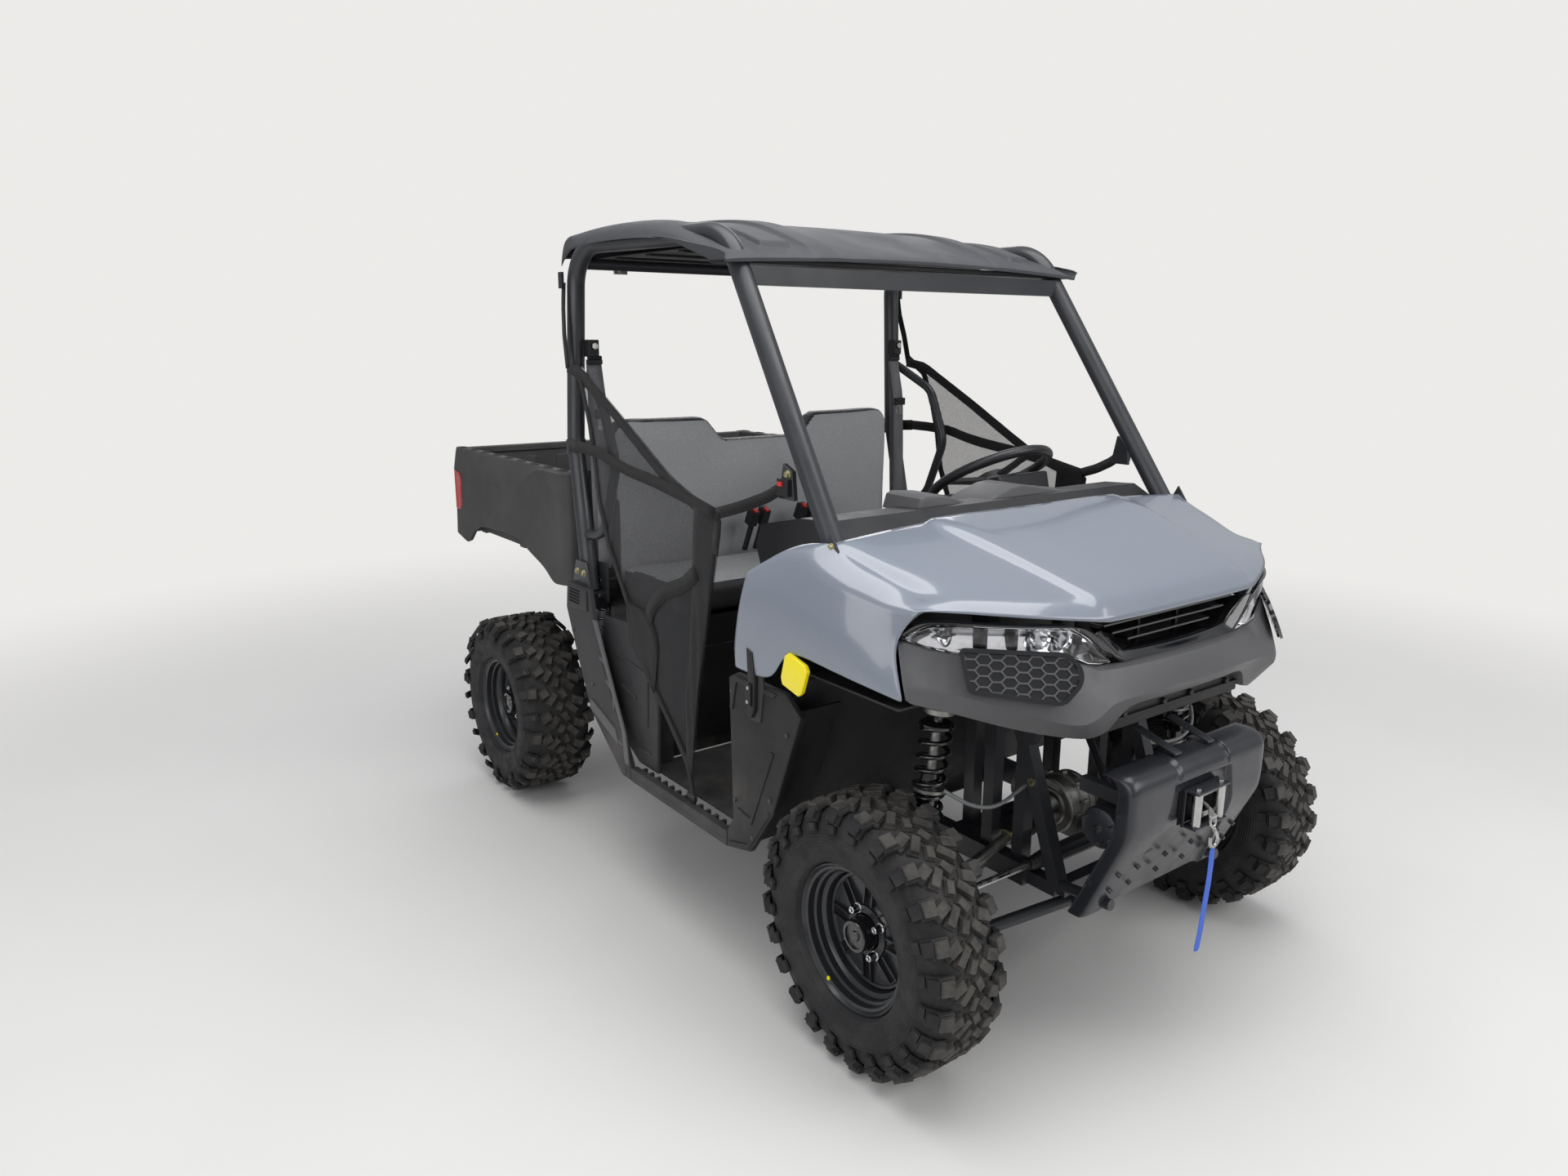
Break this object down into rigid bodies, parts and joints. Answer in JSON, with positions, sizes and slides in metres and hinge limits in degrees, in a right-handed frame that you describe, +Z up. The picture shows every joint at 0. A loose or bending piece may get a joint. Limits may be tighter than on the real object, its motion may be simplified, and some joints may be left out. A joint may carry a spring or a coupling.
{
  "type": "side by side utility vehicle",
  "caption": "Open cab side by side utility vehicle with bench seat, roof, roll cage, side nets, tilting cargo box with tailgate, tilting hood, steered front wheels and winch bumper.",
  "frame": {"origin": "on the floor below the middle of the vehicle's length and width", "axes": "+X forward, +Y to the vehicle's left, +Z up"},
  "size_m": [2.743, 1.473, 1.8757],
  "materials": {
    "tyre_rubber": "matte",
    "wheel_black": "satin",
    "frame_black": "satin",
    "body_colour": "gloss",
    "plastic_black": "textured matte",
    "grille_black": "gloss",
    "lamp_clear": "clear",
    "lamp_red": "gloss",
    "seat_vinyl": "grained",
    "webbing": "woven",
    "strap_blue": "woven",
    "bare_steel": "satin",
    "cast_metal": "cast",
    "hose": "matte"
  },
  "bodies": {
    "chassis": {"brake_hose_left": "hose", "brake_hose_right": "hose", "bumper_plate": "frame_black", "cab_controls": "plastic_black", "cage_crossbars": "frame_black", "cage_hoops": "frame_black", "dash": "plastic_black", "engine": "cast_metal", "fascia": "plastic_black", "floor": "plastic_black", "front_arms": "frame_black", "front_drive": "cast_metal", "front_grilles": "grille_black", "front_side_panels": "plastic_black", "headlights": "lamp_clear", "hitch_receiver": "frame_black", "main_frame": "frame_black", "muffler": "bare_steel", "pull_strap": "strap_blue", "rear_arms": "frame_black", "rear_drive": "cast_metal", "rear_shocks": "frame_black", "rear_side_panels": "plastic_black", "rockers": "plastic_black", "roof": "plastic_black", "seat_back": "seat_vinyl", "seat_base": "seat_vinyl", "seat_belts": "webbing", "seat_box": "plastic_black", "side_nets": "webbing", "steering_column": "frame_black", "wheel_liners": "plastic_black", "winch": "frame_black"},
    "knuckle_left": {"knuckle_left": "cast_metal"},
    "knuckle_right": {"knuckle_right": "cast_metal"},
    "wheel_front_left": {"rim_front_left": "wheel_black", "tyre_front_left": "tyre_rubber"},
    "wheel_front_right": {"rim_front_right": "wheel_black", "tyre_front_right": "tyre_rubber"},
    "wheel_rear_left": {"rim_rear_left": "wheel_black", "tyre_rear_left": "tyre_rubber"},
    "wheel_rear_right": {"rim_rear_right": "wheel_black", "tyre_rear_right": "tyre_rubber"},
    "rack": {"steering_rack": "bare_steel"},
    "hand_wheel": {"steering_wheel": "plastic_black"},
    "cargo_bed": {"cargo_box": "plastic_black", "tail_lamps": "lamp_red"},
    "gate": {"tailgate": "plastic_black"},
    "hood_lid": {"hood": "body_colour"}
  },
  "joints": [
    {"name": "steer_left", "type": "hinge", "parent": "chassis", "child": "knuckle_left", "pos_m": [0.957, 0.515, 0.225], "axis": [0, -0.1339, 0.991], "range_deg": [-26, 26]},
    {"name": "steer_right", "type": "hinge", "parent": "chassis", "child": "knuckle_right", "pos_m": [0.957, -0.515, 0.225], "axis": [0, 0.1339, 0.991], "range_deg": [-26, 26]},
    {"name": "rack_slide", "type": "slide", "parent": "chassis", "child": "rack", "axis": [0, 1, 0], "range_m": [-0.0358, 0.0358]},
    {"name": "hand_wheel_turn", "type": "hinge", "parent": "chassis", "child": "hand_wheel", "pos_m": [0.349, 0.35, 1.161], "axis": [-0.5, 0, 0.866], "range_deg": [-234.5, 234.5]},
    {"name": "front_left_spin", "type": "hinge", "parent": "knuckle_left", "child": "wheel_front_left", "pos_m": [0.957, 0.6115, 0.305], "axis": [0, 1, 0], "continuous": true},
    {"name": "front_right_spin", "type": "hinge", "parent": "knuckle_right", "child": "wheel_front_right", "pos_m": [0.957, -0.6115, 0.305], "axis": [0, 1, 0], "continuous": true},
    {"name": "rear_left_spin", "type": "hinge", "parent": "chassis", "child": "wheel_rear_left", "pos_m": [-0.897, 0.614, 0.305], "axis": [0, 1, 0], "continuous": true},
    {"name": "rear_right_spin", "type": "hinge", "parent": "chassis", "child": "wheel_rear_right", "pos_m": [-0.897, -0.614, 0.305], "axis": [0, 1, 0], "continuous": true},
    {"name": "bed_tilt", "type": "hinge", "parent": "chassis", "child": "cargo_bed", "pos_m": [-1.095, 0, 0.785], "axis": [0, -1, 0], "range_deg": [0, 45]},
    {"name": "gate_drop", "type": "hinge", "parent": "cargo_bed", "child": "gate", "pos_m": [-1.3515, 0, 0.852], "axis": [0, -1, 0], "range_deg": [0, 90]},
    {"name": "hood_tilt", "type": "hinge", "parent": "chassis", "child": "hood_lid", "pos_m": [1.185, 0, 0.925], "axis": [0, 1, 0], "range_deg": [0, 40]}
  ],
  "couplings": [
    {"joint": "steer_right", "follows": "steer_left", "ratio": 1},
    {"joint": "rack_slide", "follows": "steer_left", "m_per_rad": 0.0785},
    {"joint": "hand_wheel_turn", "follows": "steer_left", "ratio": 9}
  ]
}
